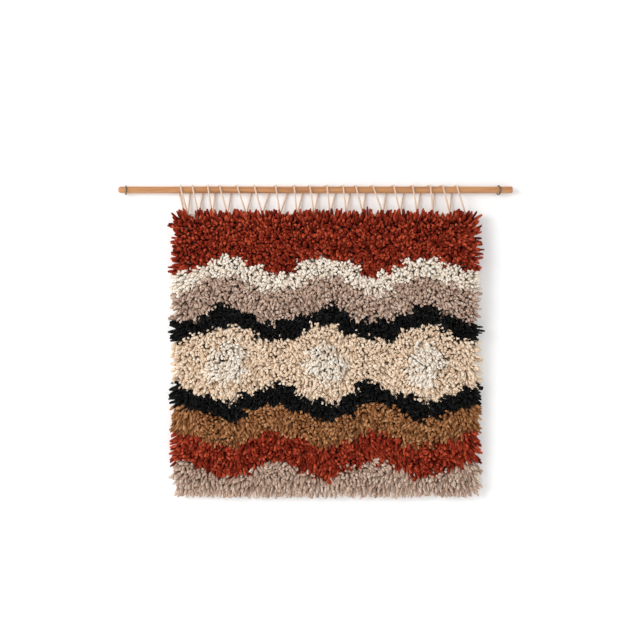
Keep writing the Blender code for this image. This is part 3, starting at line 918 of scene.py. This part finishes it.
def over_rod(behind, over, stitch):
    """The cord's points up behind the rod, over its top and down its front."""
    radius = ROD_RADIUS + CORD_RADIUS + CORD_EASE
    near = CORD_RADIUS + 2 * CORD_EASE
    back = tangent_angle(CANVAS_BACK_Y + near, HOLE_Z + CORD_TURN_HEIGHT, radius)
    front = tangent_angle(CANVAS_FRONT_Y - near, HOLE_Z + CORD_TURN_HEIGHT, radius)
    leaves = over + (stitch - over) * CORD_SLANT_ON_ROD
    points = []
    for k in range(CORD_WRAP_POINTS):
        angle = -back + (back + front) * k / (CORD_WRAP_POINTS - 1)
        if angle < 0:
            x = over + (behind - over) * -angle / back
        else:
            x = over + (leaves - over) * angle / front
        points.append((x, -radius * math.sin(angle), ROD_RADIUS + radius * math.cos(angle)))
    return points


def knot_turns(x, y, way):
    """A small knot: two turns of the cord's end round itself, and a short end that hangs from them."""
    points = [(x + aside, y + way * out, HOLE_Z - below) for aside, out, below in rows_of(KNOT_END)]
    steps = KNOT_TURNS * KNOT_TURN_STEPS
    for k in range(steps + 1):
        angle = 2 * math.pi * k / KNOT_TURN_STEPS
        depth = y + way * (KNOT_OUTER + (KNOT_INNER - KNOT_OUTER) * k / steps)
        aside = KNOT_TURN_RADIUS * math.sin(angle)
        points.append((x + aside, depth, HOLE_Z - KNOT_TURN_RADIUS * math.cos(angle)))
    return points


def rounded(points, rounds):
    """The line with its corners cut, which keeps its two ends."""
    for _ in range(rounds):
        early = points[:-1] * 0.75 + points[1:] * 0.25
        late = points[:-1] * 0.25 + points[1:] * 0.75
        cut = np.stack([early, late], axis=1).reshape(-1, 3)
        points = np.concatenate([points[:1], cut[1:-1], points[-1:]])
    return points


def evenly(points, step):
    """The same line with points a step apart."""
    lengths = np.concatenate([[0], np.cumsum(np.linalg.norm(np.diff(points, axis=0), axis=1))])
    places = np.linspace(0, lengths[-1], int(lengths[-1] / step))
    return np.stack([np.interp(places, lengths, points[:, k]) for k in range(3)], axis=-1), lengths[-1]


def make_lacing(material):
    """One cord of three plies: up behind the rod, over it, and down through the canvas, turn after turn."""
    turns = rows_of(LACING_TURNS)
    route = knot_turns(FIRST_HOLE_X, CANVAS_FRONT_Y, -1) + through_hole(FIRST_HOLE_X)[2:]
    for behind, over, stitch in turns:
        route += over_rod(behind, over, stitch)
        route += through_hole(stitch)
    route = route[:-2] + knot_turns(turns[-1][2], CANVAS_BACK_Y, 1)[::-1]
    path, length = evenly(rounded(np.array(route), CORD_ROUNDS), CORD_STEP)
    spin = np.linspace(0, 2 * math.pi * length / CORD_LAY, len(path))
    lobes = np.cos(CORD_PLIES * np.arange(CORD_SIDES) * 2 * math.pi / CORD_SIDES)
    radii = CORD_RADIUS * (1.0 + CORD_LOBE * lobes)
    points = tube_points(path[None], radii, CORD_SIDES, np.array([(1.0, 0.0, 0.0)]), spin[None])
    walls, caps = tube_faces(1, len(path), CORD_SIDES)
    # Painted shade: each side's tone follows the plies, darker in the grooves between them
    tones = np.broadcast_to(CORD_TONE + CORD_PLY_PAINTED_SHADE * lobes, points.shape[:3])
    strand = strand_colours(tones, np.ones(points.shape[:3]))
    piece = mesh_piece("lacing_cord", points.reshape(-1, 3), [walls, caps], material, strand)
    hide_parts("lacing")
    return piece


# Rod and rings


def rounded_end(end_x, rounding, way):
    """Points of the rod's outline from its end inwards, as (x, how far inside the full radius)."""
    steps = np.linspace(0, math.pi / 2, ROD_END_STEPS)
    return [(end_x + way * rounding * (1 - math.cos(a)), rounding * (1 - math.sin(a))) for a in steps]


def make_rod(material):
    """The dowel as one tube, with its two ends rounded off."""
    half = ROD_LENGTH / 2
    left = rounded_end(-half, ROD_LEFT_ROUNDING, 1)
    right = rounded_end(half, ROD_RIGHT_ROUNDING, -1)
    middle = [(x, 0.0) for x in np.linspace(ROD_END_REACH - half, half - ROD_END_REACH, ROD_MIDDLE_POINTS)]
    outline = np.array(left + middle + right[::-1])
    path = np.zeros((1, len(outline), 3))
    path[0, :, 0] = outline[:, 0] + ROD_CENTRE_X
    path[0, :, 2] = ROD_RADIUS
    radii = (ROD_RADIUS - outline[:, 1])[None, :, None]
    places = outline[:, 0] * ROD_WOBBLE_SCALE
    wobble = np.array([noise.noise(Vector((x, 0, ROD_WOBBLE_SEED))) for x in places])
    wobble = np.where(outline[:, 1] == 0, wobble, 0) - 1
    radii = radii + ROD_WOBBLE * wobble[None, :, None]
    points = tube_points(path, radii, ROD_SIDES, np.array([(0.0, 0.0, 1.0)]))
    walls, caps = tube_faces(1, len(outline), ROD_SIDES)
    piece = mesh_piece("rod_dowel", points.reshape(-1, 3), [walls, caps], material)
    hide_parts("rod")


def make_rings(material):
    left_end = ROD_CENTRE_X - ROD_LENGTH / 2
    for name, from_left_end, turn_degrees in rows_of(RINGS):
        turn = math.radians(turn_degrees)
        angles = np.arange(RING_STEPS)[:, None] * 2 * math.pi / RING_STEPS
        around = np.arange(RING_SIDES)[None, :] * 2 * math.pi / RING_SIDES
        out = RING_INNER_RADIUS + RING_WIRE_RADIUS * (1 + np.cos(around))
        flat_y = out * np.cos(angles)
        up = out * np.sin(angles)
        side = np.broadcast_to(RING_WIRE_RADIUS * np.sin(around), flat_y.shape)
        x = side * math.cos(turn) - flat_y * math.sin(turn) + left_end + from_left_end
        y = side * math.sin(turn) + flat_y * math.cos(turn)
        points = np.stack([x, y, up + ROD_RADIUS - RING_DROP], axis=-1).reshape(-1, 3)
        index = np.arange(RING_STEPS * RING_SIDES).reshape(RING_STEPS, RING_SIDES)
        ahead = np.roll(index, -1, axis=0)
        quads = np.stack([index, np.roll(index, -1, axis=1), np.roll(ahead, -1, axis=1), ahead], axis=-1)
        piece = mesh_piece(name + "_wire", points, [quads.reshape(-1, 4)], material)
        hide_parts(name)


# Stage


def make_stage():
    """A pale floor, and a pale backdrop close behind that is seen only from its front."""
    for name, place, turn in (
        ("floor", (0, 0, FLOOR_Z), 0.0),
        ("backdrop", (0, BACKDROP_Y, 0), math.pi / 2),
    ):
        bpy.ops.mesh.primitive_plane_add(size=STAGE_SIZE, location=place, rotation=(turn, 0, 0))
        plane = bpy.context.object
        plane.name = name
        paint = Nodes(name + "_paint", 0.9)
        paint.shader.inputs["Base Color"].default_value = (STAGE_GREY, STAGE_GREY, STAGE_GREY, 1)
        plane.data.materials.append(paint.material)
        if name == "backdrop":
            plane.visible_shadow = False
            see_from_front(paint)


def see_from_front(paint):
    """Lets the view from behind pass through the backdrop, as the light there does."""
    clear = paint.add("ShaderNodeBsdfTransparent")
    side = paint.add("ShaderNodeNewGeometry")
    mix = paint.add("ShaderNodeMixShader")
    output = paint.tree.nodes["Material Output"]
    paint.link(side.outputs["Backfacing"], mix.inputs["Fac"])
    paint.link(paint.shader.outputs["BSDF"], mix.inputs[1])
    paint.link(clear.outputs["BSDF"], mix.inputs[2])
    paint.link(mix.outputs["Shader"], output.inputs["Surface"])


def make_light():
    world = bpy.data.worlds.new("studio")
    bpy.context.scene.world = world
    world.use_nodes = True
    background = world.node_tree.nodes["Background"]
    background.inputs["Color"].default_value = (1.0, 1.0, 1.0, 1.0)
    background.inputs["Strength"].default_value = SURROUNDINGS
    for name, place, size, power in rows_of(LAMPS):
        light = bpy.data.objects.new(name, bpy.data.lights.new(name, "AREA"))
        light.data.size = size
        light.data.energy = power
        light.location = place
        light.rotation_euler = (Vector(LAMP_AIM) - Vector(place)).to_track_quat("-Z", "Y").to_euler()
        bpy.context.scene.collection.objects.link(light)


def make_camera():
    """Square on to the front, so that a pixel of the frame is the photograph's."""
    camera = bpy.data.objects.new("camera", bpy.data.cameras.new("camera"))
    camera.data.lens = CAMERA_LENS * 1000
    camera.data.sensor_width = SENSOR_WIDTH * 1000
    distance = CAMERA_LENS / SENSOR_WIDTH * PHOTO_SIZE * METRES_PER_PIXEL
    x = (PHOTO_SIZE / 2 - ORIGIN_PIXEL_X) * METRES_PER_PIXEL
    z = (ORIGIN_PIXEL_Y - PHOTO_SIZE / 2) * METRES_PER_PIXEL
    camera.location = (x, -distance, z)
    camera.rotation_euler = (math.pi / 2, 0, 0)
    bpy.context.scene.collection.objects.link(camera)
    bpy.context.scene.camera = camera
    bpy.context.scene.view_settings.view_transform = "Standard"


def main():
    make_camera()
    make_light()
    make_stage()
    lacing = make_lacing(cord_material())
    make_rod(wood_material())
    make_rings(steel_material())
    tails = make_pile(wool_materials())
    cloth = make_canvas(cotton_material("canvas_ground", GROUND_STOPS))
    threads = make_threads(cotton_material("canvas_thread", THREAD_STOPS))
    stitches = make_hem_stitches(cotton_material("sewing_thread", SEWING_STOPS))


main()
